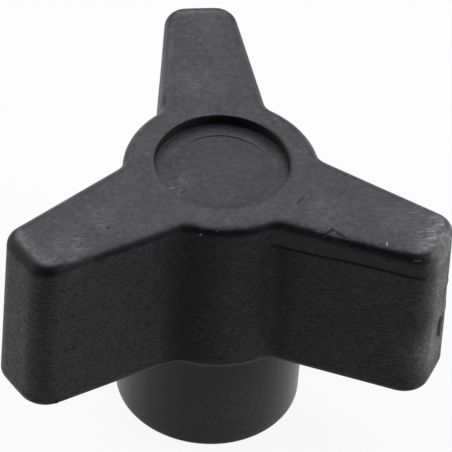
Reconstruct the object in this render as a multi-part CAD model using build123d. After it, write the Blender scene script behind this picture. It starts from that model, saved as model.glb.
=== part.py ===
"""Three-arm star knob: a hollow-armed nylon moulding on a brass insert.

Millimetres. The origin is the centre of the boss's end face, +Z runs up the thread's axis to the
top, and the first arm points along +Y.
"""

import os
from math import atan, cos, radians, sqrt, tan

from build123d import *

# Overall form
arm_count = 3
arm_height = 30.3
boss_height = 21.3
boss_radius = 15.8
boss_edge_chamfer = 0.5

# Plan at the underside, where the draft makes the hub and arms largest
knob_radius = 40.0  # axis to the arm tips
hub_radius = 17.4
arm_half_width_tip = 6.55
arm_half_width_root = 9.2  # at the hub's radius
tip_corner_radius = 4.6
tip_crown = 0.2  # how far the end wall bows out

# Draft of the outer walls and of the cores, in degrees
arm_draft = 1.6
hub_draft = 2.5
core_draft = 1.5

# Rounded edges of hub and arms
web_radius = 3.3  # hollow corner between the hub and an arm
top_edge_radius = 2.2

# Round recess in the top, with a shallow round step in its floor
recess_radius = 11.05
recess_depth = 2.1
step_radius = 8.45
step_depth = 0.2

# Cored pockets under the arms, each with a cross rib
wall = 3.0
roof = 3.2
pocket_ledge = 0.8  # left between the boss and a pocket's mouth
pocket_corner_radius = 1.6
rib_thickness = 2.2
rib_height = 13.0  # how far a rib hangs down from its pocket's roof
rib_radius = 27.4  # axis to the middle of the rib

# Brass insert of hexagon bar, with a turned collar at its mouth and a turned waist
thread_pitch = 1.75
thread_major_diameter = 12.0
thread_length = 19.0
mouth_chamfer_depth = 0.5
drill_point_angle = 118.0
brass_behind_drill = 2.0
hexagon_across_flats = 17.0
collar_radius = 8.0
collar_length = 1.5
waist_radius = 7.6
waist_start = 10.0
waist_length = 5.0
insert_end_chamfer = 0.6

# Worked out from the sizes above
knob_height = boss_height + arm_height
arm_slope = (arm_half_width_root - arm_half_width_tip) / (knob_radius - hub_radius)
pocket_start = boss_radius + pocket_ledge
thread_minor_radius = (thread_major_diameter - 1.0825 * thread_pitch) / 2
drill_point_height = thread_minor_radius / tan(radians(drill_point_angle / 2))
insert_length = thread_length + drill_point_height + brass_behind_drill
hexagon_across_corners = hexagon_across_flats / cos(radians(30))

underside = Plane.XY.offset(boss_height)
standing = (Align.CENTER, Align.CENTER, Align.MIN)


def round_bar(radius, start, length):
    """Cylinder on the knob's axis."""
    return Pos(0, 0, start) * Cylinder(radius, length, align=standing)


def half_width(distance, inset=0.0):
    """Half the width of an arm, or of its pocket, at a distance from the axis."""
    return arm_half_width_root + arm_slope * (hub_radius - distance) - inset / cos(atan(arm_slope))


def rising_edges(solid):
    """Edges that run from the underside to the top, or to a pocket's roof."""
    return solid.edges().filter_by(lambda e: abs(e.position_at(1).Z - e.position_at(0).Z) > arm_height / 2)


def arm():
    """One arm along +X, from the axis out, drafted all round."""
    tip_width = half_width(knob_radius)
    with BuildSketch(underside) as plan:
        with BuildLine():
            ThreePointArc((knob_radius, -tip_width), (knob_radius + tip_crown, 0), (knob_radius, tip_width))
            Polyline((knob_radius, tip_width), (0, half_width(0)), (0, -half_width(0)), (knob_radius, -tip_width))
        make_face()
        fillet(plan.vertices().filter_by(lambda v: v.X > hub_radius), tip_corner_radius)
    return extrude(plan.sketch, arm_height, taper=arm_draft)


def pocket():
    """Space cored out of the arm along +X, round its cross rib."""
    end = knob_radius - wall
    start_width, end_width = half_width(pocket_start, wall), half_width(end, wall)
    with BuildSketch(underside) as plan:
        corners = (pocket_start, -start_width), (end, -end_width), (end, end_width), (pocket_start, start_width)
        Polygon(*corners, align=None)
    space = extrude(plan.sketch, arm_height - roof, taper=core_draft)
    space = fillet(rising_edges(space), pocket_corner_radius)
    rib_foot = Pos(rib_radius, 0, knob_height - roof - rib_height)
    return space - rib_foot * Box(rib_thickness, 2 * start_width, rib_height + roof, align=standing)


def star():
    """Hub and arms, solid, with the corners between them hollowed and the top edge rounded."""
    top_radius = hub_radius - arm_height * tan(radians(hub_draft))
    hub = Pos(0, 0, boss_height) * Rot(0, 0, 90) * Cone(hub_radius, top_radius, arm_height, align=standing)
    solid = hub + PolarLocations(0, arm_count, start_angle=90) * arm()
    webs = rising_edges(solid).filter_by(lambda e: sqrt(e.center().X ** 2 + e.center().Y ** 2) < hub_radius)
    solid = fillet(webs, web_radius)
    return fillet(solid.faces().sort_by(Axis.Z)[-1].edges(), top_edge_radius)


def insert_blank():
    """The insert before it is drilled, which is also the space that it fills in the boss."""
    hexagon = extrude(RegularPolygon(hexagon_across_flats / 2, 6, major_radius=False), insert_length)
    blank = round_bar(hexagon_across_corners / 2, 0, insert_length)
    bar = hexagon & chamfer(blank.edges().sort_by(Axis.Z)[-1], insert_end_chamfer)
    bar -= round_bar(hexagon_across_corners, waist_start, waist_length)
    bar -= round_bar(hexagon_across_corners, 0, collar_length)
    bar += round_bar(waist_radius, 0, waist_start + waist_length)
    return bar + round_bar(collar_radius, 0, collar_length)


def threaded_insert():
    """Brass insert, bored to the thread's minor diameter, with a drill point and a countersink."""
    bore = round_bar(thread_minor_radius, 0, thread_length)
    drill_point = Cone(thread_minor_radius, 0, drill_point_height, align=standing)
    countersink = Cone(thread_major_diameter / 2, thread_minor_radius, mouth_chamfer_depth, align=standing)
    return insert_blank() - bore - Pos(0, 0, thread_length) * drill_point - countersink


def recess():
    """Round recess in the top, with the step in its floor."""
    floor = knob_height - recess_depth
    hollow = round_bar(recess_radius, floor, 2 * recess_depth)
    return hollow + round_bar(step_radius, floor - step_depth, recess_depth)


def knob_body():
    """Moulding: hub, arms and boss in one piece."""
    boss = round_bar(boss_radius, 0, boss_height + wall)
    boss = chamfer(boss.edges().sort_by(Axis.Z)[0], boss_edge_chamfer)
    pockets = PolarLocations(0, arm_count, start_angle=90) * pocket()
    return star() + boss - pockets - recess() - insert_blank()


os.makedirs("parts", exist_ok=True)
export_step(knob_body(), "parts/knob_body.step")
export_step(threaded_insert(), "parts/threaded_insert.step")
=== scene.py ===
"""Three-arm star knob: a black nylon moulding with a rubbed grey top, on a tapped brass insert."""

from math import atan, atan2, ceil, cos, pi, radians, sin, sqrt, tan

import bmesh
import bpy
import numpy as np
from bpy.props import FloatProperty, FloatVectorProperty, PointerProperty
from mathutils import Matrix, Vector, noise
from mathutils.bvhtree import BVHTree
from mathutils.geometry import delaunay_2d_cdt


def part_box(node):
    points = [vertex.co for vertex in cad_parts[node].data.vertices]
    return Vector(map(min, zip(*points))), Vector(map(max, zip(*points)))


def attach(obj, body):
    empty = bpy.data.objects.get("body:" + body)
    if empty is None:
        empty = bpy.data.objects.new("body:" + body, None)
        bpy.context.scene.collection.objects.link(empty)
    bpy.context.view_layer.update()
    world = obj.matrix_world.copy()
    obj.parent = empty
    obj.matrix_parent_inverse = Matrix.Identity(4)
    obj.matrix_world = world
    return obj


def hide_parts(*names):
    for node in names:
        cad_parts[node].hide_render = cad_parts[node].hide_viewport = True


bl_info = {
    "name": "Star knob",
    "version": (1, 0, 0),
    "blender": (4, 5, 0),
    "location": "View3D > Sidebar > Star knob",
    "description": "Builds the star knob, its tapped insert and a studio round them",
    "category": "Object",
}

MM = 0.001
TINY = 1e-9
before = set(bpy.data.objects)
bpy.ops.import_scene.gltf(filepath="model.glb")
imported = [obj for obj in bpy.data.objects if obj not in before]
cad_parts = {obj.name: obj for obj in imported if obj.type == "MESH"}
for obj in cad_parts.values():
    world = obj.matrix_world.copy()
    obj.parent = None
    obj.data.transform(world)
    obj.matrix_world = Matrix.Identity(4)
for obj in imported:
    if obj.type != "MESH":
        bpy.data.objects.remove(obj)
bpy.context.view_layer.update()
KNOB_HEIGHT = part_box("knob_body")[1].z
INSERT_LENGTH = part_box("threaded_insert")[1].z
ARMS = 3

# How finely the meshes are divided
SPOKES = 144
WALL_ROW = 0.6 * MM
HUB_STEPS, WEB_STEPS, SIDE_STEPS, CORNER_STEPS, END_STEPS = 8, 7, 36, 12, 5
SMALL_EDGE_ROWS, TOP_EDGE_ROWS, TOP_ROWS, FLOOR_ROWS, POCKET_ROWS = 3, 8, 18, 4, 8
BOSS_ROWS, BOSS_EDGE_ROWS, BOSS_FACE_ROWS = 16, 5, 6
THREAD_ROWS, MOUTH_ROWS, CONE_ROWS = 12, 4, 8
SHARP_ANGLE = radians(34)

# A 60 degree thread: its depth on the diameter and its root's width in pitches, and its flanks' slope
THREAD_DEPTH, ROOT_WIDTH, FLANK_SLOPE = 1.0825, 1 / 8, sqrt(3)

# Painted on the moulding's points: the wear and scuff layers also carry painted highlights, the rubbed layer
# a painted highlight on the back arm's left edge, and the grime layer painted shade. The shoulder is the
# smooth edge between walls and top
LAYERS = ("rubbed", "grained", "shouldered", "worn", "scuffed", "bruised", "smutted")


# Properties

def length(name, description, millimetres):
    """A length in metres, written in millimetres."""
    return FloatProperty(
        name=name, description=description, default=millimetres * MM, precision=5, unit="LENGTH"
    )


def angle(name, description, degrees):
    """An angle in radians, written in degrees."""
    return FloatProperty(name=name, description=description, default=radians(degrees), unit="ROTATION")


def share(name, description, value):
    """A plain number from 0 to 1."""
    return FloatProperty(name=name, description=description, default=value, min=0, max=1, subtype="FACTOR")


def wattage(name, description, watts):
    """A lamp's power."""
    return FloatProperty(name=name, description=description, default=watts, min=0, unit="POWER")


def colour(name, description, red, green, blue):
    """A linear colour, with its alpha."""
    return FloatVectorProperty(
        name=name, description=description, default=(red, green, blue, 1.0), size=4, min=0.0, max=1.0,
        subtype="COLOR",
    )


class MouldingForm(bpy.types.PropertyGroup):
    """Sizes of the moulding. Plan sizes are those at the underside, where it is largest."""

    boss_height: length("Boss height", "End face to the arms' underside", 21.3)
    boss_radius: length("Boss radius", "Round boss below the hub", 15.8)
    boss_edge: length("Boss edge", "Rounding of its lower edge", 0.5)
    knob_radius: length("Knob radius", "Axis to the arm tips", 40.0)
    hub_radius: length("Hub radius", "Round hub between the arms", 17.4)
    arm_half_width_tip: length("Arm half width, tip", "Half the width at the tip", 6.55)
    arm_half_width_root: length("Arm half width, root", "Half the width at the hub", 9.2)
    tip_corner_radius: length("Tip corner radius", "Upright corners of a tip", 4.6)
    tip_crown: length("Tip crown", "How far the end wall bows out", 0.2)
    arm_draft: angle("Arm draft", "Lean of the arms' walls", 1.6)
    hub_draft: angle("Hub draft", "Lean of the hub's wall", 2.5)
    core_draft: angle("Core draft", "Lean of the pockets' walls", 1.5)
    web_radius: length("Web radius", "Hollow corner between hub and arm", 3.3)
    top_edge_radius: length("Top edge radius", "Between the walls and the top", 2.2)
    underside_edge: length("Underside edge", "Rounding of the walls' lower edge", 0.16)
    recess_radius: length("Recess radius", "Round recess in the top", 11.05)
    recess_depth: length("Recess depth", "Top to the recess's floor", 2.1)
    recess_edge: length("Recess edge", "Rounding of its rim and foot", 0.2)
    step_radius: length("Step radius", "Round step in the recess's floor", 8.45)
    step_depth: length("Step depth", "Depth of that step", 0.2)
    step_edge: length("Step edge", "Rounding of that step", 0.09)
    wall: length("Wall", "Thickness round the pockets", 3.0)
    roof: length("Roof", "Thickness over the pockets", 3.2)
    pocket_ledge: length("Pocket ledge", "Between the boss and a pocket", 0.8)
    pocket_corner_radius: length("Pocket corner radius", "Upright corners of a pocket", 1.6)
    rib_thickness: length("Rib thickness", "Cross rib in each pocket", 2.2)
    rib_height: length("Rib height", "From the pocket's roof down", 13.0)
    rib_radius: length("Rib radius", "Axis to the middle of a rib", 27.4)

    @property
    def arm_height(self):
        """From the underside to the top."""
        return KNOB_HEIGHT - self.boss_height

    @property
    def arm_slope(self):
        """How fast an arm narrows."""
        return (self.arm_half_width_root - self.arm_half_width_tip) / (self.knob_radius - self.hub_radius)

    @property
    def side_offset(self):
        """How far the line of an arm's side lies from the axis."""
        at_axis = self.arm_half_width_root + self.arm_slope * self.hub_radius
        return at_axis * cos(atan(self.arm_slope))

    @property
    def crown_radius(self):
        """Radius of the arm's bowed end wall."""
        return (self.arm_half_width_tip**2 + self.tip_crown**2) / (2 * self.tip_crown)


class InsertForm(bpy.types.PropertyGroup):
    """Sizes of the brass insert."""

    thread_pitch: length("Thread pitch", "Rise in one turn", 1.75)
    thread_diameter: length("Thread diameter", "Major diameter", 12.0)
    thread_length: length("Thread length", "Bore without its drill point", 19.0)
    thread_runout: length("Thread runout", "Plain stretch at the inner end", 1.4)
    mouth_depth: length("Countersink depth", "Countersink at the mouth", 0.5)
    drill_angle: angle("Drill point", "Angle of the bore's end", 118.0)
    across_flats: length("Across flats", "Hexagon bar that it is turned from", 17.0)
    collar_radius: length("Collar radius", "Turned collar at the mouth", 8.0)
    collar_length: length("Collar length", "Length of the collar", 1.5)
    waist_radius: length("Waist radius", "Waist that keeps the insert in", 7.6)
    waist_start: length("Waist start", "From the mouth to the waist", 10.0)
    waist_length: length("Waist length", "Length of the waist", 5.0)
    end_chamfer: length("End chamfer", "Chamfer of the inner end", 0.6)

    @property
    def thread_minor_radius(self):
        """Radius of the bore before it is tapped."""
        return (self.thread_diameter - THREAD_DEPTH * self.thread_pitch) / 2


class NylonFinish(bpy.types.PropertyGroup):
    """Colour and texture of the moulding."""

    wall_colour: colour("Wall colour", "Black of the grained walls", 0.0122, 0.0106, 0.0126)
    boss_colour: colour("Boss colour", "Black of the smooth boss", 0.0064, 0.0050, 0.0066)
    # The shoulder's black also colours grime on the marks and painted shade
    shoulder_colour: colour("Shoulder colour", "Black of the smooth top edge", 0.0062, 0.0060, 0.0066)
    top_colour: colour("Top colour", "Grey of the rubbed top", 0.0372, 0.0357, 0.0450)
    # The pale colour of scuffs and specks, also used for painted highlights
    scuff_and_highlight_colour: colour("Scuff colour", "Pale scuffs and specks", 0.20, 0.198, 0.205)
    bruise_colour: colour("Bruise colour", "Whitened plastic in fresh nicks", 0.50, 0.50, 0.50)
    grain_depth: length("Grain depth", "Spark-eroded grain of the walls", 0.11)
    top_grain_depth: length("Top grain depth", "Fine grain of the top", 0.06)
    unevenness: length("Unevenness", "Slow waviness of the faces", 0.03)
    wall_roughness: share("Wall roughness", "Roughness of the grained walls", 0.42)
    top_roughness: share("Top roughness", "Roughness of the rubbed top", 0.60)
    boss_roughness: share("Boss roughness", "Roughness of the smooth boss", 0.32)
    gloss: share("Gloss", "Strength of reflections", 0.12)
    burnish: share("Burnish", "How far handling has polished the top", 0.40)
    burnish_roughness: share("Burnish roughness", "Roughness of that polish", 0.36)
    boss_sheen: share("Boss sheen", "The boss's extra reflection at a slant", 0.12)


class BrassFinish(bpy.types.PropertyGroup):
    """Colour and texture of the insert."""

    fresh_colour: colour("Brass", "Clean turned brass", 0.72, 0.50, 0.22)
    dull_colour: colour("Tarnish", "Dulled brass", 0.42, 0.27, 0.11)
    ring_spacing: length("Tool mark spacing", "Feed of the turning tool", 0.22)
    ring_depth: length("Tool mark depth", "Depth of the turning marks", 0.004)
    roughness: share("Roughness", "Roughness of the turned brass", 0.32)


class StudioForm(bpy.types.PropertyGroup):
    """Camera, lamps and floor."""

    view_azimuth: angle("View azimuth", "Camera's direction, from the front", -8.663)
    view_elevation: angle("View elevation", "Camera's height above the horizon", 44.437)
    view_roll: angle("View roll", "Camera's turn about its line of sight", 4.213)
    view_distance: length("View distance", "Camera to the point it looks at", 549.43)
    view_target: FloatVectorProperty(
        name="View target", description="Point in the middle of the picture",
        default=(1.365 * MM, -0.241 * MM, 37.002 * MM), subtype="TRANSLATION",
    )
    focal_length: FloatProperty(
        name="Focal length", description="Lens, on a sensor 36 mm wide", default=264.13, unit="CAMERA"
    )
    floor_colour: colour("Floor colour", "Pale floor", 0.60, 0.60, 0.60)
    floor_glow: share("Floor glow", "How much of the floor shows as plain white", 0.90)
    fill_strength: share("Fill", "Strength of the even light", 0.10)
    key_power: wattage("Key power", "Lamp above and behind", 7.6)
    left_power: wattage("Left power", "Lamp on the left", 13.8)
    right_power: wattage("Right power", "Lamp on the right", 15.4)


# Materials

class Wire:
    """One output socket of a material. Python's operators join wires and numbers by Math nodes."""

    def __init__(self, finish, socket):
        self.finish = finish
        self.socket = socket

    def _math(self, operation, *operands):
        return self.finish.put("ShaderNodeMath", {"operation": operation}, dict(enumerate(operands)))

    def __add__(self, other):
        return self._math("ADD", self, other)

    def __sub__(self, other):
        return self._math("SUBTRACT", self, other)

    def __rsub__(self, other):
        return self._math("SUBTRACT", other, self)

    def __mul__(self, other):
        return self._math("MULTIPLY", self, other)

    __radd__ = __add__
    __rmul__ = __mul__

    def rising(self, low, high):
        """Smooth step from 0 at one value to 1 at another."""
        sockets = {"Value": self, "From Min": low, "From Max": high}
        return self.finish.put("ShaderNodeMapRange", {"interpolation_type": "SMOOTHSTEP"}, sockets)


class Finish:
    """A material in the making. put adds each node, and dress joins wires to the shader."""

    def __init__(self, name, constants):
        self.material = bpy.data.materials.new(name)
        self.material.use_nodes = True
        self.tree = self.material.node_tree
        self.shader = self.tree.nodes["Principled BSDF"]
        for socket, value in constants.items():
            self.shader.inputs[socket].default_value = value

    def put(self, kind, settings=None, sockets=None, output=0):
        """Adds a node of a type: first its settings, then the numbers or wires of its sockets."""
        node = self.tree.nodes.new(kind)
        for name, value in (settings or {}).items():
            setattr(node, name, value)
        for name, value in (sockets or {}).items():
            if isinstance(value, Wire):
                self.tree.links.new(value.socket, node.inputs[name])
            else:
                node.inputs[name].default_value = value
        return Wire(self, node.outputs[output])

    def dress(self, wires):
        """Joins wires to the shader's own sockets."""
        for socket, wire in wires.items():
            self.tree.links.new(wire.socket, self.shader.inputs[socket])

    def place(self):
        """Position on the object, in millimetres."""
        position = self.put("ShaderNodeTexCoord", output="Object")
        sockets = {"Vector": position, "Scale": 1 / MM}
        return self.put("ShaderNodeVectorMath", {"operation": "SCALE"}, sockets)

    def cloud(self, place, per_mm, detail=2.0, distortion=0.0, turn=0.0):
        """Noise from about 0 to 1. per_mm gives its grains to the millimetre along each axis."""
        mapped = self.put(
            "ShaderNodeMapping", None, {"Vector": place, "Rotation": (0, 0, turn), "Scale": per_mm}
        )
        sockets = {"Vector": mapped, "Scale": 1.0, "Detail": detail, "Distortion": distortion}
        return self.put("ShaderNodeTexNoise", None, sockets)

    def painted(self, layer):
        """Number painted on the mesh's points."""
        return self.put("ShaderNodeAttribute", {"attribute_name": layer}, output="Fac")

    def blend(self, factor, first, second):
        """Mixes two colours. Sockets 6 and 7 and output 2 are the Mix node's colours."""
        sockets = {0: factor, 6: first, 7: second}
        return self.put("ShaderNodeMix", {"data_type": "RGBA"}, sockets, output=2)

    def bump(self, height):
        """Normal of a surface with that height, in metres."""
        return self.put("ShaderNodeBump", None, {"Height": height, "Distance": 1.0})


def nylon_material(look):
    """Black glass-filled nylon: grained walls, smooth boss, and a top rubbed grey and scuffed."""
    finish = Finish("glass_filled_nylon", {
        "IOR": 1.5,
        "Specular IOR Level": look.gloss,
        "Coat IOR": 1.5,
        "Coat Roughness": look.burnish_roughness,
    })
    place = finish.place()
    rubbed, grained, shouldered, worn, scuffed, bruised, smutted = map(finish.painted, LAYERS)

    # Clouds of noise by their grains to the millimetre, and the band of each that shows
    patchy = finish.cloud(place, (0.22, 0.22, 0.22), detail=3.0)
    mottle = finish.cloud(place, (1.0, 1.2, 1.1), detail=3.0)
    grit = finish.cloud(place, (3.2, 3.2, 3.2))
    specks = finish.cloud(place, (0.9, 1.1, 1.0), detail=1.5).rising(0.60, 0.76)
    strokes = finish.cloud(place, (0.55, 1.9, 1.8), turn=radians(-24)).rising(0.55, 0.74)
    cross_strokes = finish.cloud(place, (0.6, 2.2, 1.8), detail=1.0, turn=radians(16)).rising(0.60, 0.76)
    leather = finish.cloud(place, (1.3, 1.3, 2.9), detail=4.0, distortion=0.6)
    spark = finish.cloud(place, (3.4, 3.4, 5.0), distortion=0.3)
    grain = (leather * 0.6 + spark * 0.4).rising(0.36, 0.64)
    flecks = finish.cloud(place, (1.6, 1.6, 2.6)).rising(0.56, 0.72)

    # The plain colours, each lighter and darker by patches about its own value
    top_shade = patchy * 0.6 + mottle + grit * 0.4
    shade = top_shade + grained * (grain * 1.4 - 0.7)
    base = finish.blend(grained, look.boss_colour, look.wall_colour)
    base = finish.blend(shouldered, base, look.shoulder_colour)
    base = finish.blend(rubbed, base, look.top_colour)
    base = finish.put("ShaderNodeVectorMath", {"operation": "SCALE"}, {"Vector": base, "Scale": shade})

    # Scuffs and specks on each finish, with painted highlights on the right tip and along edges, then
    # bruises, and grime with painted shade over all
    scratches = (strokes + cross_strokes) * (0.06 + scuffed * scuffed * 0.6)
    sand = grit.rising(0.46, 0.68) * (0.05 + scuffed * 0.22)
    top_pale = specks * 0.14 + scratches + sand + scuffed * mottle * 0.12
    wall_pale = flecks * (0.03 + scuffed * 0.8) + scuffed * mottle * 0.5
    smooth = (1 - rubbed) * (1 - grained) * (1 - shouldered)
    boss_pale = scuffed * mottle.rising(0.40, 0.75) * 0.10
    # Edges and tips: wear, with painted light where the top starts to turn down, and a painted highlight
    # along the walls' lower edge
    edge_wear_and_highlight = worn * (mottle.rising(0.3, 0.7) * 0.4 + 0.2) + (1 - rubbed) * specks * 0.04
    # Pale on scuffed shoulders, which on the right tip is a painted highlight
    edge_wear_and_highlight = edge_wear_and_highlight + shouldered * scuffed * (mottle * 0.4 + flecks * 0.3)
    pale = top_pale * rubbed + wall_pale * grained + boss_pale * smooth + edge_wear_and_highlight
    base = finish.blend(pale, base, look.scuff_and_highlight_colour)
    base = finish.blend(bruised, base, look.bruise_colour)
    # Grime on the marks, and painted shade in the hollow corners, on the hub's front and in the recess, all
    # in the shoulder's black
    base = finish.blend(smutted, base, look.shoulder_colour)

    top_share = (look.top_roughness - look.boss_roughness) * rubbed
    wall_share = (look.wall_roughness - look.boss_roughness + (0.5 - grain) * 0.2) * grained
    rough = look.boss_roughness + top_share + wall_share + smutted * 0.3 + (mottle - 0.5) * 0.12

    wall_height = grain * grained * look.grain_depth
    top_height = (grit * 0.6 + mottle) * rubbed * look.top_grain_depth
    skin_height = mottle * (0.12 * look.top_grain_depth)
    finish.dress({
        "Base Color": base,
        "Roughness": rough,
        "Coat Weight": rubbed * (mottle * 0.6 + 0.7) * look.burnish + smooth * look.boss_sheen,
        "Normal": finish.bump(wall_height + top_height + skin_height),
    })
    return finish.material


def brass_material(look):
    """Turned brass, with the tool's rings and some tarnish."""
    finish = Finish("turned_brass", {"Metallic": 1.0})
    place = finish.place()
    flat = finish.put("ShaderNodeVectorMath", {"operation": "MULTIPLY"}, {0: place, 1: (1, 1, 0)})
    from_axis = finish.put("ShaderNodeVectorMath", {"operation": "LENGTH"}, {"Vector": flat}, output="Value")
    wobble = finish.cloud(place, (0.6, 0.6, 0.6))
    turns = (from_axis + wobble * 0.05) * (2 * pi * MM / look.ring_spacing)
    rings = finish.put("ShaderNodeMath", {"operation": "SINE"}, {0: turns})
    tarnish = finish.cloud(place, (0.5, 0.5, 0.5), detail=4.0, distortion=0.4).rising(0.40, 0.72)
    fine = finish.cloud(place, (7.0, 7.0, 7.0))
    base = finish.blend(tarnish * 0.75, look.fresh_colour, look.dull_colour)
    rough = look.roughness + tarnish * 0.18 + (fine - 0.5) * 0.10
    height = (rings + fine * 0.8) * look.ring_depth
    finish.dress({"Base Color": base, "Roughness": rough, "Normal": finish.bump(height)})
    return finish.material


def floor_material(studio):
    """Pale floor, lightened where it is seen directly or mirrored, so that its shadow stays faint."""
    finish = Finish("studio_floor", {"Base Color": studio.floor_colour, "Roughness": 0.9})
    rays = finish.put("ShaderNodeLightPath").socket.node.outputs
    seen = Wire(finish, rays["Is Camera Ray"]) + Wire(finish, rays["Is Glossy Ray"])
    seen = seen + Wire(finish, rays["Is Transmission Ray"])
    white = finish.put("ShaderNodeEmission", None, {"Color": (1, 1, 1, 1), "Strength": 1.0})
    lit = Wire(finish, finish.shader.outputs[0])
    mixed = finish.put("ShaderNodeMixShader", None, {0: seen * studio.floor_glow, 1: lit, 2: white})
    finish.tree.links.new(mixed.socket, finish.tree.nodes["Material Output"].inputs["Surface"])
    return finish.material


# Mesh building

class Skin:
    """Points and faces of one closed surface, laid down ring by ring."""

    def __init__(self):
        self.points = []
        self.faces = []

    def ring(self, plan, height):
        """Adds a ring of plan points at one height and returns their numbers."""
        start = len(self.points)
        self.points += [Vector((x, y, height)) for x, y in plan]
        return list(range(start, len(self.points)))

    def turned(self, spokes, profile):
        """Adds a round ring for each radius and height of a profile."""
        return [self.ring([spoke * radius for spoke in spokes], height) for radius, height in profile]

    def bands(self, rings):
        """Joins each ring to the next by a band of quads."""
        for first, second in zip(rings, rings[1:]):
            for k in range(len(first)):
                self.faces.append((first[k - 1], first[k], second[k], second[k - 1]))

    def fan(self, ring):
        """Closes a ring with triangles to its middle."""
        middle = sum((self.points[k] for k in ring), Vector()) / len(ring)
        self.points.append(middle)
        for k in range(len(ring)):
            self.faces.append((ring[k - 1], ring[k], len(self.points) - 1))

    def fill(self, outer, holes):
        """Fills the flat face between an outer ring and the rings of its holes."""
        loops = [outer, *holes]
        numbers = [k for loop in loops for k in loop]
        plan = [self.points[k].to_2d() for k in numbers]
        edges = []
        for loop in loops:
            start = len(edges)
            edges += [(start + k, start + (k + 1) % len(loop)) for k in range(len(loop))]
        triangles = delaunay_2d_cdt(plan, edges, [], 0, TINY, False)[2]
        outlines = [[self.points[k].to_2d() for k in loop] for loop in loops]
        for triangle in triangles:
            middle = sum((plan[k] for k in triangle), Vector((0, 0))) / 3
            if sum(encloses(outline, middle) for outline in outlines) == 1:
                self.faces.append(tuple(numbers[k] for k in triangle))

    def bmesh(self):
        """The surface as a bmesh, with its faces turned outward."""
        bm = bmesh.new()
        verts = [bm.verts.new(point) for point in self.points]
        for face in self.faces:
            bm.faces.new([verts[k] for k in face])
        unused = [vert for vert in verts if not vert.link_faces]
        bmesh.ops.delete(bm, geom=unused, context="VERTS")
        bmesh.ops.recalc_face_normals(bm, faces=bm.faces)
        return bm


def encloses(outline, point):
    """Whether a closed outline in plan goes round a point."""
    inside = False
    for first, second in zip(outline, outline[1:] + outline[:1]):
        if (first.y > point.y) != (second.y > point.y):
            crossing = first.x + (point.y - first.y) * (second.x - first.x) / (second.y - first.y)
            inside ^= point.x < crossing
    return inside


def steps(start, end, count):
    """Evenly spaced values from start to end, both included."""
    return [start + (end - start) * k / count for k in range(count + 1)]


def arc(centre, radius, start, end, count):
    """Points of an arc in plan, without its last one."""
    return [centre + radius * Vector((cos(a), sin(a))) for a in steps(start, end, count)[:-1]]


def line(start, end, count):
    """Points of a straight run in plan, without its last one."""
    return [start.lerp(end, k / count) for k in range(count)]


def quarter(count):
    """Angles that go a quarter of a turn round."""
    return steps(0, pi / 2, count)


def outer_edge(radius, height, size):
    """Rounded edge of a profile that comes in over a rim and goes down its bore."""
    turns = quarter(SMALL_EDGE_ROWS)
    return [(radius + size * (1 - sin(turn)), height - size * (1 - cos(turn))) for turn in turns]


def inner_edge(radius, height, size):
    """Rounded foot of a profile that comes down a bore and goes in over its floor."""
    turns = quarter(SMALL_EDGE_ROWS)
    return [(radius - size * (1 - cos(turn)), height + size * (1 - sin(turn))) for turn in turns]


def even_spokes():
    """Unit directions in plan, evenly round the axis."""
    return [Vector((cos(2 * pi * k / SPOKES), sin(2 * pi * k / SPOKES))) for k in range(SPOKES)]


# Moulding

def half_outline(form, arm_inset, hub_inset, web_radius):
    """Half an arm's outline at one height, arm along +X, from the hub's middle to the tip's."""
    lean = atan(form.arm_slope)
    along = Vector((cos(lean), -sin(lean)))
    outward = Vector((sin(lean), cos(lean)))
    side = form.side_offset - arm_inset
    hub = form.hub_radius - hub_inset
    web_offset = side + web_radius
    web = web_offset * outward + sqrt((hub + web_radius) ** 2 - web_offset**2) * along
    web_turn = lean_angle(web)
    corner_radius = form.tip_corner_radius - arm_inset
    bow = form.crown_radius
    crown = Vector((form.knob_radius + form.tip_crown - bow, 0))
    corner_offset = side - corner_radius
    reach = bow - form.tip_corner_radius
    run = crown.dot(along) + sqrt(reach**2 - (corner_offset - crown.dot(outward)) ** 2)
    corner = corner_offset * outward + run * along
    corner_turn = lean_angle(corner - crown)
    points = arc(Vector((0, 0)), hub, pi / ARMS, web_turn, HUB_STEPS)
    points += arc(web, web_radius, web_turn - pi, lean_angle(-outward), WEB_STEPS)
    points += line(web - web_radius * outward, corner + corner_radius * outward, SIDE_STEPS)
    points += arc(corner, corner_radius, lean_angle(outward), corner_turn, CORNER_STEPS)
    points += arc(crown, bow - arm_inset, corner_turn, 0, END_STEPS)
    return points + [crown + Vector((bow - arm_inset, 0))]


def lean_angle(direction):
    """Angle of a direction in plan from +X."""
    return atan2(direction.y, direction.x)


def all_arms(points):
    """Repeats plan points round the axis, the first arm along +Y."""
    turns = [Matrix.Rotation(pi / 2 + 2 * pi * k / ARMS, 2) for k in range(ARMS)]
    return [turn @ point for turn in turns for point in points]


def star_outline(form, arm_inset, hub_inset, web_radius):
    """Closed outline of hub and arms at one height."""
    half = half_outline(form, arm_inset, hub_inset, web_radius)
    mirrored = [Vector((x, -y)) for x, y in half]
    return all_arms(mirrored + half[-2:0:-1])


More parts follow.
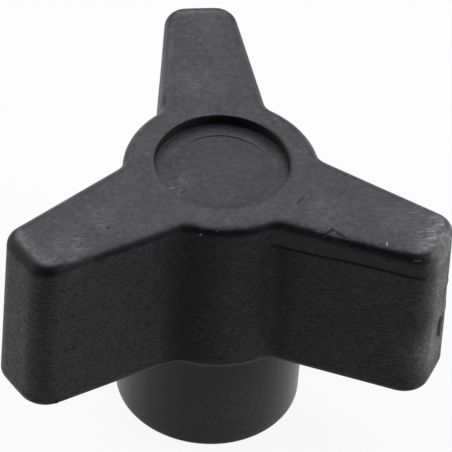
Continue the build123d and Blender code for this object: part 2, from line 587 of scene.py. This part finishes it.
def star_rings(skin, form):
    """Rings of the walls, from the underside up, and of the rounded top edge."""
    arm_lean, hub_lean = tan(form.arm_draft), tan(form.hub_draft)
    small, large = form.underside_edge, form.top_edge_radius
    rings = []
    for turn in quarter(SMALL_EDGE_ROWS):
        lift = small * (1 - cos(turn))
        extra = small * (1 - sin(turn))
        insets = lift * arm_lean + extra, lift * hub_lean + extra
        outline = star_outline(form, *insets, form.web_radius + extra)
        rings.append(skin.ring(outline, form.boss_height + lift))
    edge_start = form.arm_height - large * (1 - sin(form.hub_draft))
    rows = ceil((edge_start - small) / WALL_ROW)
    for lift in steps(small, edge_start, rows)[1:]:
        outline = star_outline(form, lift * arm_lean, lift * hub_lean, form.web_radius)
        rings.append(skin.ring(outline, form.boss_height + lift))
    centre_lift = form.arm_height - large
    for turn in steps(form.hub_draft, pi / 2, TOP_EDGE_ROWS)[1:]:
        insets = []
        for draft in (form.arm_draft, form.hub_draft):
            centre_inset = centre_lift * tan(draft) + large / cos(draft)
            insets.append(centre_inset - large * cos(turn))
        web = form.web_radius + insets[0] - centre_lift * arm_lean
        height = form.boss_height + centre_lift + large * sin(turn)
        rings.append(skin.ring(star_outline(form, *insets, web), height))
    return rings


def top_rings(skin, form, edge):
    """Rings of the top, in from its rounded edge, and of the recess."""
    outline = [skin.points[k].to_2d() for k in edge]
    spokes = [point.normalized() for point in outline]
    recess, recess_edge = form.recess_radius, form.recess_edge
    step, step_edge = form.step_radius, form.step_edge
    rim = recess + recess_edge
    rings = []
    for part in steps(0, 1, TOP_ROWS)[1:-1]:
        plan = [point.lerp(spoke * rim, part) for point, spoke in zip(outline, spokes)]
        rings.append(skin.ring(plan, KNOB_HEIGHT))
    floor = KNOB_HEIGHT - form.recess_depth
    step_floor = floor - form.step_depth
    wall_rows = steps(KNOB_HEIGHT - recess_edge, floor + recess_edge, FLOOR_ROWS)
    shelf_rows = steps(recess - recess_edge, step + step_edge, FLOOR_ROWS)
    disc_rows = steps(step - step_edge, 0, 3 * FLOOR_ROWS)
    profile = outer_edge(recess, KNOB_HEIGHT, recess_edge)
    profile += [(recess, height) for height in wall_rows[1:-1]]
    profile += inner_edge(recess, floor, recess_edge)
    profile += [(radius, floor) for radius in shelf_rows[1:-1]]
    profile += outer_edge(step, floor, step_edge)
    profile += inner_edge(step, step_floor, step_edge)
    profile += [(radius, step_floor) for radius in disc_rows[1:-1]]
    return rings + skin.turned(spokes, profile)


def pocket_plan(form, lift):
    """A pocket's outline at a height above the underside, arm along +X, and where its rib meets it."""
    inset = form.wall + lift * tan(form.core_draft)
    slope = form.arm_slope
    lean = atan(slope)
    start = form.boss_radius + form.pocket_ledge + inset - form.wall
    end = form.knob_radius - inset
    radius = form.pocket_corner_radius

    def half_width(distance):
        return (form.side_offset - inset) / cos(lean) - slope * distance

    outward = Vector((sin(lean), cos(lean)))
    near = Vector((start + radius, half_width(start + radius) - radius / cos(lean)))
    far = Vector((end - radius, half_width(end - radius) - radius / cos(lean)))
    rib = [form.rib_radius + side * form.rib_thickness / 2 for side in (-1, 1)]
    cross = [Vector((distance, half_width(distance))) for distance in rib]
    end_steps, corner_steps, side_steps, rib_steps = 4, 6, 8, 2
    half = line(Vector((start, 0)), Vector((start, near.y)), end_steps)
    half += arc(near, radius, pi, lean_angle(outward), corner_steps)
    near_rib = len(half) + side_steps
    half += line(near + radius * outward, cross[0], side_steps)
    half += line(*cross, rib_steps)
    half += line(cross[1], far + radius * outward, side_steps)
    half += arc(far, radius, lean_angle(outward), 0, corner_steps)
    half += line(Vector((end, far.y)), Vector((end, 0)), end_steps)
    half.append(Vector((end, 0)))
    mirrored = [Vector((x, -y)) for x, y in half[-2:0:-1]]
    count = len(half) + len(mirrored)
    far_rib = near_rib + rib_steps
    return half + mirrored, (near_rib, far_rib, count - far_rib, count - near_rib)


def pocket_rings(skin, form, arm):
    """One cored pocket, with its cross rib. Returns the ring of its mouth."""
    turn = Matrix.Rotation(pi / 2 + 2 * pi * arm / ARMS, 2)
    depth = form.arm_height - form.roof
    rib_foot = depth - form.rib_height

    def outline(lift):
        plan = pocket_plan(form, lift)[0]
        return skin.ring([turn @ point for point in plan], form.boss_height + lift)

    lower = [outline(lift) for lift in steps(0, rib_foot, POCKET_ROWS)]
    skin.bands(lower)
    near_up, far_up, far_down, near_down = pocket_plan(form, 0)[1]
    cells = ([], [])
    for lift in steps(rib_foot, depth, POCKET_ROWS):
        ring = lower[-1] if lift == rib_foot else outline(lift)
        cells[0].append(ring[near_down:] + ring[: near_up + 1])
        cells[1].append(ring[far_up : far_down + 1])
    for rings in cells:
        skin.bands(rings)
        skin.faces.append(tuple(rings[-1]))
    foot = lower[-1]
    for k in range(near_up, far_up):
        opposite = near_up + near_down - k
        skin.faces.append((foot[k], foot[k + 1], foot[opposite - 1], foot[opposite]))
    return lower[0]


def hexagon_radii(across_flats, limit):
    """Radius of a hexagon at each even spoke, cut to a largest radius."""
    radii = []
    for k in range(SPOKES):
        off_flat = (2 * pi * k / SPOKES) % (pi / 3) - pi / 6
        radii.append(min(across_flats / 2 / cos(off_flat), limit))
    return radii


def insert_outside(skin, insert, mouth):
    """Rings of the insert's outside, from its mouth in, which are also those of its seat."""
    corner = insert.across_flats / 2 / cos(pi / 6)
    hexagon = hexagon_radii(insert.across_flats, corner)
    collar = [insert.collar_radius] * SPOKES
    waist = [insert.waist_radius] * SPOKES
    waist_end = insert.waist_start + insert.waist_length
    sections = [
        (collar, insert.collar_length), (hexagon, insert.collar_length), (hexagon, insert.waist_start),
        (waist, insert.waist_start), (waist, waist_end), (hexagon, waist_end),
    ]
    for cut in steps(0, insert.end_chamfer, SMALL_EDGE_ROWS):
        height = INSERT_LENGTH - insert.end_chamfer + cut
        sections.append((hexagon_radii(insert.across_flats, corner - cut), height))
    spokes = even_spokes()
    rings = [mouth]
    for radii, height in sections:
        rings.append(skin.ring([spoke * radius for spoke, radius in zip(spokes, radii)], height))
    skin.bands(rings)
    skin.fan(rings[-1])


def moulding_skin(form, insert):
    """The whole moulding, true to its sizes and without its marks."""
    skin = Skin()
    walls = star_rings(skin, form)
    top = top_rings(skin, form, walls[-1])
    skin.bands(walls + top)
    skin.fan(top[-1])
    mouths = [pocket_rings(skin, form, arm) for arm in range(ARMS)]
    profile = [(form.boss_radius, height) for height in steps(form.boss_height, form.boss_edge, BOSS_ROWS)]
    for turn in quarter(BOSS_EDGE_ROWS)[1:]:
        radius = form.boss_radius - form.boss_edge * (1 - cos(turn))
        profile.append((radius, form.boss_edge * (1 - sin(turn))))
    face_rows = steps(form.boss_radius - form.boss_edge, insert.collar_radius, BOSS_FACE_ROWS)
    profile += [(radius, 0.0) for radius in face_rows[1:]]
    boss = skin.turned(even_spokes(), profile)
    skin.fill(walls[0], [boss[0], *mouths])
    skin.bands(boss)
    insert_outside(skin, insert, boss[-1])
    return skin


# Marks of the mould and of use

def on_arm(arm, along, across, below_top):
    """A place given by its arm, its distances along and across that arm, and its depth, all in mm."""
    turn = Matrix.Rotation(pi / 2 + 2 * pi * arm / ARMS, 2)
    plan = turn @ Vector((along, across))
    return Vector((*(plan * MM), KNOB_HEIGHT - below_top * MM))


BACK_ARM, LEFT_ARM, RIGHT_ARM = 0, 1, 2

# The mesh is made finer within this many half widths of a mark, and by a margin with some cuts
MARK_REACH = 1.6
PASSES = ((1.1 * MM, 1), (0.35 * MM, 2))

# The lip round a mark, in half widths and depths of the mark
LIP_PLACE, LIP_WIDTH, LIP_HEIGHT = 1.25, 0.4, 0.18

WAVE_LENGTH = 9 * MM
# Strengths of the top edges' wear with painted light, of the tips' wear, of the painted highlights on the
# lower edge and on the back arm's edge, and of the painted shade
EDGE_WEAR_AND_LIGHT, TIP_WEAR, LOWER_HIGHLIGHT, BACK_HIGHLIGHT, PAINTED_SHADE = 0.12, 0.6, 0.35, 0.45, 0.6

# Where two parts of the mould meet on the right arm's front, from the hub out
WITNESS = (
    (13.3, -9.5, 4.9), (15.3, -8.7, 5.2), (17.8, -8.4, 5.0), (20.8, -8.1, 5.0), (24.8, -7.6, 4.65),
    (27.4, -7.3, 4.45), (32.7, -6.7, 4.4), (35.3, -6.4, 4.4), (36.9, -6.0, 4.35), (38.1, -5.4, 4.8),
)


class Mark:
    """A dent or a burr along a line of places on an arm: its half width and depth in mm."""

    def __init__(self, arm, places, width, depth, pale=0.0, smut=0.0):
        self.places = [on_arm(arm, *place) for place in places]
        self.width = width * MM
        self.depth = depth * MM
        self.pale = pale
        self.smut = smut

    def distances(self, points):
        """Distance of each point from the mark's line."""
        nearest = np.full(len(points), np.inf)
        pairs = list(zip(self.places, self.places[1:])) or [(self.places[0], self.places[0])]
        for start, end in pairs:
            origin, run = np.array(start), np.array(end) - np.array(start)
            size = max(run @ run, TINY**2)
            part = np.clip(((points - origin) @ run) / size, 0, 1)
            nearest = np.minimum(nearest, np.linalg.norm(points - origin - part[:, None] * run, axis=1))
        return nearest

    def press(self, points):
        """How far the mark has sunk at each point, from 0 to 1, and its push along the normal."""
        reach = self.distances(points) / self.width
        sunk = np.clip(1 - reach**2, 0, 1) ** 2
        lip = np.clip(1 - ((reach - LIP_PLACE) / LIP_WIDTH) ** 2, 0, 1) ** 2
        return sunk, self.depth * (LIP_HEIGHT * lip - sunk)


# The marks that show: an arm, places on it, a half width and a depth in mm, paleness and grime
MARKS = (
    (RIGHT_ARM, WITNESS, 0.42, 0.15, 0.0, 1.0),
    # A chevron-shaped bruise in the right arm's front edge
    (RIGHT_ARM, [(21.0, -7.6, 1.0), (22.35, -6.3, 0.1)], 0.38, 0.10, 0.0, 0.85),
    (RIGHT_ARM, [(22.35, -6.3, 0.1), (24.6, -6.8, 0.5)], 0.34, 0.08, 0.0, 0.7),
    (RIGHT_ARM, [(22.5, -7.1, 0.7), (23.7, -7.1, 0.75)], 0.34, -0.06, 0.02),
    # Whitened nicks
    (LEFT_ARM, [(11.55, 10.6, 1.46), (12.15, 10.9, 1.5)], 0.13, 0.10, 0.9),
    (LEFT_ARM, [(9.7, 12.2, 0.7)], 0.12, 0.08, 0.4),
    (RIGHT_ARM, [(31.1, -5.0, 0.03), (31.3, -5.5, 0.2)], 0.11, 0.06, 0.8),
    (RIGHT_ARM, [(36.3, -5.8, 1.0), (37.3, -5.5, 0.85)], 0.14, 0.12, 0.16),
    (RIGHT_ARM, [(36.8, -3.2, 0.0)], 0.16, 0.05, 0.2),
    # A pit and a stroke in the top
    (LEFT_ARM, [(24.3, 2.7, 0.0)], 0.30, 0.12, 0.0, 0.9),
    (RIGHT_ARM, [(14.7, -3.3, 0.0), (15.2, -1.3, 0.0)], 0.22, 0.08, 0.0, 0.6),
    # Dents in the right arm's end wall, with a ridge raised between them
    (RIGHT_ARM, [(39.8, 0.7, 19.2), (39.9, 1.0, 22.4)], 1.0, 0.5, 0.0, 0.9),
    (RIGHT_ARM, [(39.6, 3.3, 14.0), (39.6, 3.1, 17.2)], 1.3, 0.38),
    (RIGHT_ARM, [(39.8, 2.2, 14.6), (39.8, 2.1, 19.5)], 0.7, -0.16, 0.10),
    # Burrs along the lower edge
    (LEFT_ARM, [(36.3, 6.9, 30.0)], 0.40, -0.15),
    (LEFT_ARM, [(15.4, 9.4, 30.1)], 0.40, -0.22, 0.06),
    # A bump in the recess's wall, and a spot on the front of the hub
    (BACK_ARM, [(10.1, 4.4, 1.5)], 0.35, -0.15),
    (RIGHT_ARM, [(8.8, -13.8, 7.3)], 0.14, 0.05, 0.14),
)

# Scuffed patches, and on the right tip painted highlights too: a place, a radius in mm and a weight
SCUFFS_AND_HIGHLIGHTS = (
    (on_arm(LEFT_ARM, 31.8, 3, 0), 6, 0.8),
    (on_arm(LEFT_ARM, 23.4, 0.3, 0), 5, 0.7),
    (on_arm(LEFT_ARM, 9, -0.4, 2.1), 3.5, 1),
    (on_arm(LEFT_ARM, 6, -1.8, 2.3), 3.5, 1),
    (on_arm(BACK_ARM, 20, 1.5, 0), 7, 0.5),
    (on_arm(BACK_ARM, 31, -1, 0), 5, 0.4),
    (on_arm(RIGHT_ARM, 19, -3, 0), 6, 0.5),
    (on_arm(RIGHT_ARM, 35, -2, 0), 4, 0.5),
    (on_arm(RIGHT_ARM, 33, 3, 0), 9, 0.6),
    # The right tip's shoulder and end wall: scuffs, strengthened as a painted highlight
    (on_arm(RIGHT_ARM, 38.8, 1, 0.8), 8, 1.8),
    (on_arm(RIGHT_ARM, 39.8, 0.6, 9), 9, 0.7),
    (on_arm(RIGHT_ARM, 39.6, 2.8, 17), 8, 1.4),
    (on_arm(RIGHT_ARM, 39.6, -1, 22), 9, 1.1),
    # On the boss
    ((2.5 * MM, -15.6 * MM, 8.0 * MM), 9, 0.9),
    ((-13.5 * MM, -8.0 * MM, 15.0 * MM), 8, 0.6),
)


def refine(bm, mark_list):
    """Makes the mesh finer round each mark."""
    tree = BVHTree.FromBMesh(bm)
    for mark in mark_list:
        mark.places = [tree.find_nearest(place)[0] for place in mark.places]
    for margin, cuts in PASSES:
        middles = np.array([face.calc_center_median() for face in bm.faces])
        near = np.zeros(len(middles), bool)
        for mark in mark_list:
            near |= mark.distances(middles) < MARK_REACH * mark.width + margin
        edges = {edge for face, chosen in zip(bm.faces, near) if chosen for edge in face.edges}
        bmesh.ops.subdivide_edges(bm, edges=list(edges), cuts=cuts, use_grid_fill=True)
    bmesh.ops.triangulate(bm, faces=[face for face in bm.faces if len(face.verts) > 4])


def read(collection, field, width):
    """Numbers of a mesh's items as rows of an array."""
    values = np.empty(len(collection) * width, np.float32)
    collection.foreach_get(field, values)
    return values.reshape(-1, width).astype(float)


def ramp(values, low, high):
    """Smooth step of an array, from 0 at low to 1 at high."""
    part = np.clip((values - low) / (high - low), 0, 1)
    return part * part * (3 - 2 * part)


def above_witness(points):
    """1 where a point of the right arm's front lies over the witness line, where the grain is faint."""
    turn = pi / 2 + 2 * pi * RIGHT_ARM / ARMS
    along = points[:, 0] * cos(turn) + points[:, 1] * sin(turn)
    across = points[:, 1] * cos(turn) - points[:, 0] * sin(turn)
    stations, sides, depths = (np.array(values) * MM for values in zip(*WITNESS))
    line_height = KNOB_HEIGHT - np.interp(along, stations, depths)
    side_depth, fade = 3 * MM, 0.4 * MM
    front = (across < sides.max() + side_depth) & (along > stations[0])
    return ramp(points[:, 2] - line_height, 0, fade) * front


def finish_layers(points, normals, form):
    """How far each finish covers each point, and which points are uneven."""
    x, y, height = points.T
    radius = np.hypot(x, y)
    upward = normals[:, 2]
    sideways = np.hypot(normals[:, 0], normals[:, 1]) + TINY
    leftward, backward = -normals[:, 0] / sideways, normals[:, 1] / sideways
    outward = (points[:, :2] * normals[:, :2]).sum(axis=1) / (radius * sideways + TINY)
    tips, hub, recess = form.knob_radius, form.hub_radius, form.recess_radius
    open_top = height > KNOB_HEIGHT - form.recess_depth - 2 * form.step_depth
    outer = (height > form.boss_height + form.underside_edge) & (radius > recess + MM)
    recess_wall = (np.abs(radius - recess) < 2 * form.recess_edge) & open_top
    step = np.abs(radius - form.step_radius) < 3 * form.step_edge
    arm_end = ramp(outward, 0.7, 0.95) * ramp(radius, tips - 6 * MM, tips - 2.5 * MM)

    # Hands rub what faces up, less of it at the tips, and the recess's front rim. Painted highlights lie on
    # the back arm's left edge and along the walls' lower edge, and the top edges are paler partly as painted
    # light
    # Painted highlight on the back arm's left shoulder
    back_edge_highlight = ramp(leftward, 0.8, 0.97) * (y > hub)
    front_rim = ramp(backward, 0.25, 0.5) * recess_wall
    handled_and_lit = np.maximum(BACK_HIGHLIGHT * back_edge_highlight, front_rim) * ramp(upward, 0.2, 0.6)
    facing_up = upward - 0.14 * ramp(radius, tips - 10 * MM, tips - 2 * MM)
    rubbed = ramp(facing_up, 0.70 - 0.04 * arm_end, 0.81 + 0.05 * arm_end)
    # The top's edges paler where they start to turn down: wear, and painted light
    edge_wear_and_light = EDGE_WEAR_AND_LIGHT * ramp(-upward, -0.995, -0.92)
    tip_worn = TIP_WEAR * ramp(radius, tips - 4.4 * MM, tips - 3.1 * MM) * ramp(upward, 0.90, 0.97)
    # A painted highlight along the walls' lower edge
    lower_edge_highlight = ramp(-np.abs(height - form.boss_height), -2 * form.underside_edge, 0)
    lower_edge_highlight *= radius > form.boss_radius + MM
    worn = np.maximum(rubbed * np.maximum(edge_wear_and_light, tip_worn) * outer, LOWER_HIGHLIGHT * lower_edge_highlight)
    # The rubbed layer also takes in the front rim, the step, and the painted highlight on the back arm's
    # edge
    rubbed = np.maximum.reduce([rubbed, handled_and_lit, step]) * open_top
    rubbed *= 1 - 0.15 * (radius < form.step_radius + form.step_edge)

    # Upright walls are grained, faintly so over the witness line and in the recess
    grained = ramp(-np.abs(upward), -0.45, -0.2) * outer * (1 - 0.7 * above_witness(points))
    grained = np.maximum(grained, 0.6 * recess_wall * (1 - rubbed))
    shouldered = np.clip(1 - rubbed - grained, 0, 1) * outer

    # Painted shade in the hollow corners, on the hub's front, at the foot of the recess's wall and on its
    # right wall; the back and left arms' end shoulders are made darker and rougher
    # Painted shade in the hollow corners between hub and arms
    hollow_shade = ramp(-radius, -hub - 3.6 * MM, 0.8 * MM - hub) * ramp(-outward, -0.97, -0.6) * grained
    # Painted shade on the hub's front, towards the left
    hub_front_shade = ramp(-x, -3 * MM, 6 * MM) * ramp(-y, 9 * MM, 13 * MM)
    hub_front_shade *= ramp(-radius, -hub - 2.6 * MM, -hub - 0.2 * MM) * grained
    # Painted shade at the foot of the recess's wall, towards the back
    foot = ramp(radius, recess - MM, recess) * open_top * (1 - outer)
    foot *= ramp(y, -6 * MM, -MM) * (height < KNOB_HEIGHT - 0.5 * form.recess_depth)
    # Painted shade on the recess's right-hand wall
    foot = np.maximum(foot, 1.4 * recess_wall * ramp(x, 5 * MM, 10 * MM) * (1 - front_rim))
    dull_ends = 0.85 * arm_end * shouldered * (x < hub)
    smutted = np.maximum(PAINTED_SHADE * np.maximum.reduce([hollow_shade, hub_front_shade, foot]), dull_ends)
    layers = dict(rubbed=rubbed, grained=grained, shouldered=shouldered, worn=worn, smutted=smutted)
    return layers, outer | (rubbed > 0.5)


def scuff_and_highlight_weights(points):
    """How scuffed the moulding is at each point, with painted highlights on the right tip."""
    scuffed = np.zeros(len(points))
    for place, size, weight in SCUFFS_AND_HIGHLIGHTS:
        distance = np.linalg.norm(points - np.array(place), axis=1)
        scuffed = np.maximum(scuffed, weight * ramp(-distance, -size * MM, 0))
    return scuffed


def weather(mesh, form, look, mark_list):
    """Presses the marks into the mesh and paints where each finish lies."""
    points = read(mesh.vertices, "co", 3)
    normals = read(mesh.vertex_normals, "vector", 3)
    layers, uneven = finish_layers(points, normals, form)
    layers["bruised"] = np.zeros(len(points))
    layers["scuffed"] = scuff_and_highlight_weights(points)
    waves = np.array([noise.noise(Vector(point) / WAVE_LENGTH) for point in points])
    move = waves * look.unevenness * uneven
    for mark in mark_list:
        sunk, push = mark.press(points)
        move += push
        for layer, amount in (("bruised", mark.pale), ("smutted", mark.smut)):
            layers[layer] = np.maximum(layers[layer], amount * np.sqrt(sunk))
    points += normals * move[:, None]
    mesh.vertices.foreach_set("co", points.astype(np.float32).ravel())
    for layer in LAYERS:
        values = layers[layer].astype(np.float32)
        mesh.attributes.new(layer, "FLOAT", "POINT").data.foreach_set("value", values)


def add_object(name, data):
    """Adds an object to the scene."""
    thing = bpy.data.objects.new(name, data)
    bpy.context.scene.collection.objects.link(thing)
    return thing


def add_piece(name, bm, material, node, prepare=None):
    """Makes a mesh object of a surface, which stands for a node and rides with it."""
    mesh = bpy.data.meshes.new(name)
    bm.to_mesh(mesh)
    bm.free()
    if prepare:
        prepare(mesh)
    mesh.shade_smooth()
    mesh.set_sharp_from_angle(angle=SHARP_ANGLE)
    mesh.materials.append(material)
    piece = add_object(name, mesh)
    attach(piece, "root")
    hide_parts(node)
    return piece


# Insert

def thread_radius(insert, height, turn):
    """Radius of the tapped bore at a height and an angle round the axis."""
    pitch, minor, major = insert.thread_pitch, insert.thread_minor_radius, insert.thread_diameter / 2
    phase = (height / pitch - turn / (2 * pi)) % 1.0
    off_root = (abs(phase - 0.5) - ROOT_WIDTH / 2) * pitch
    groove = min(max(major - off_root * FLANK_SLOPE, minor), major) - minor
    left = insert.thread_length - insert.thread_runout - height
    fade = min(max(left / pitch, 0.0), 1.0)
    mouth = major - (major - minor) * height / insert.mouth_depth
    return max(minor + groove * fade, mouth)


def insert_skin(insert):
    """The insert, with its real thread."""
    skin = Skin()
    spokes = even_spokes()
    major = insert.thread_diameter / 2
    rings = skin.turned(spokes, [(radius, 0.0) for radius in steps(insert.collar_radius, major, MOUTH_ROWS)])
    insert_outside(skin, insert, rings[0])
    rows = ceil(insert.thread_length / insert.thread_pitch * THREAD_ROWS)
    for height in steps(0, insert.thread_length, rows)[1:]:
        radii = [thread_radius(insert, height, 2 * pi * k / SPOKES) for k in range(SPOKES)]
        rings.append(skin.ring([spoke * radius for spoke, radius in zip(spokes, radii)], height))
    minor = insert.thread_minor_radius
    cone = [(radius, insert.thread_length + (minor - radius) / tan(insert.drill_angle / 2))
            for radius in steps(minor, 0, CONE_ROWS)[1:-1]]
    rings += skin.turned(spokes, cone)
    skin.bands(rings)
    skin.fan(rings[-1])
    skin.points[-1] = Vector((0, 0, insert.thread_length + minor / tan(insert.drill_angle / 2)))
    return skin


# Operators

class MouldingOperator(bpy.types.Operator):
    """Builds the nylon moulding, with its grain, scuffs and nicks"""

    bl_idname = "star_knob.moulding"
    bl_label = "Moulding"

    def execute(self, context):
        form, look = context.scene.moulding_form, context.scene.nylon_finish
        bm = moulding_skin(form, context.scene.insert_form).bmesh()
        mark_list = [Mark(*row) for row in MARKS]
        refine(bm, mark_list)
        add_piece(
            "nylon_moulding", bm, nylon_material(look), "knob_body",
            lambda mesh: weather(mesh, form, look, mark_list),
        )
        return {"FINISHED"}


class InsertOperator(bpy.types.Operator):
    """Builds the tapped brass insert"""

    bl_idname = "star_knob.insert"
    bl_label = "Insert"

    def execute(self, context):
        bm = insert_skin(context.scene.insert_form).bmesh()
        material = brass_material(context.scene.brass_finish)
        add_piece("tapped_insert", bm, material, "threaded_insert")
        return {"FINISHED"}


# Square soft lamps with their places and sides, the point they face, and the floor's reach, in metres
LAMPS = (("key", (0, 0.42, 0.92), 1.2), ("left", (-0.88, 0.3, 0.28), 1), ("right", (0.94, -0.1, 0.28), 1))
LAMP_TARGET = Vector((0, 0, 0.03))
FLOOR_REACH = 4.0


def add_lamp(name, place, size, power):
    """Adds a square soft lamp."""
    lamp = bpy.data.lights.new(name, "AREA")
    lamp.shape = "SQUARE"
    lamp.size = size
    lamp.energy = power
    holder = add_object(name, lamp)
    holder.location = place
    holder.rotation_euler = (LAMP_TARGET - Vector(place)).to_track_quat("-Z", "Y").to_euler()


def add_floor(studio):
    """Adds the pale floor that the boss stands on."""
    bm = bmesh.new()
    bmesh.ops.create_grid(bm, x_segments=1, y_segments=1, size=FLOOR_REACH)
    mesh = bpy.data.meshes.new("floor")
    bm.to_mesh(mesh)
    bm.free()
    mesh.materials.append(floor_material(studio))
    floor = add_object("floor", mesh)


def add_camera(studio):
    """Adds the camera at the fitted viewpoint."""
    turn, rise, roll = studio.view_azimuth, studio.view_elevation, studio.view_roll
    back = Vector((sin(turn) * cos(rise), -cos(turn) * cos(rise), sin(rise)))
    level = Vector((cos(turn), sin(turn), 0))
    right = level * cos(roll) + back.cross(level) * sin(roll)
    up = back.cross(right)
    place = studio.view_target + back * studio.view_distance
    lens = bpy.data.cameras.new("camera")
    lens.lens = studio.focal_length
    lens.clip_start = 10 * MM
    camera = add_object("camera", lens)
    columns = Matrix((right, up, back)).transposed().to_4x4()
    camera.matrix_world = Matrix.Translation(place) @ columns
    bpy.context.scene.camera = camera


class StudioOperator(bpy.types.Operator):
    """Sets up the floor, the lamps, the even light and the camera"""

    bl_idname = "star_knob.studio"
    bl_label = "Studio"

    def execute(self, context):
        studio = context.scene.studio_form
        add_floor(studio)
        for name, place, size in LAMPS:
            add_lamp(name, place, size, getattr(studio, f"{name}_power"))
        world = bpy.data.worlds.new("even_light")
        world.use_nodes = True
        backdrop = world.node_tree.nodes["Background"]
        backdrop.inputs["Color"].default_value = (1, 1, 1, 1)
        backdrop.inputs["Strength"].default_value = studio.fill_strength
        context.scene.world = world
        add_camera(studio)
        context.scene.view_settings.view_transform = "Standard"
        return {"FINISHED"}


OPERATORS = (MouldingOperator, InsertOperator, StudioOperator)


class StarKnobPanel(bpy.types.Panel):
    """Lists the operators that build the knob"""

    bl_idname = "VIEW3D_PT_star_knob"
    bl_label = "Star knob"
    bl_space_type = "VIEW_3D"
    bl_region_type = "UI"
    bl_category = "Star knob"

    def draw(self, context):
        for operator in OPERATORS:
            self.layout.operator(operator.bl_idname)


SETTINGS = {
    "moulding_form": MouldingForm,
    "insert_form": InsertForm,
    "nylon_finish": NylonFinish,
    "brass_finish": BrassFinish,
    "studio_form": StudioForm,
}
CLASSES = (*SETTINGS.values(), *OPERATORS, StarKnobPanel)


def register():
    for item in CLASSES:
        bpy.utils.register_class(item)
    for name, group in SETTINGS.items():
        setattr(bpy.types.Scene, name, PointerProperty(type=group))


def unregister():
    for name in SETTINGS:
        delattr(bpy.types.Scene, name)
    for item in reversed(CLASSES):
        bpy.utils.unregister_class(item)


def main():
    """Builds the scene."""
    register()
    bpy.ops.star_knob.moulding()
    bpy.ops.star_knob.insert()
    bpy.ops.star_knob.studio()


if __name__ == "__main__":
    main()
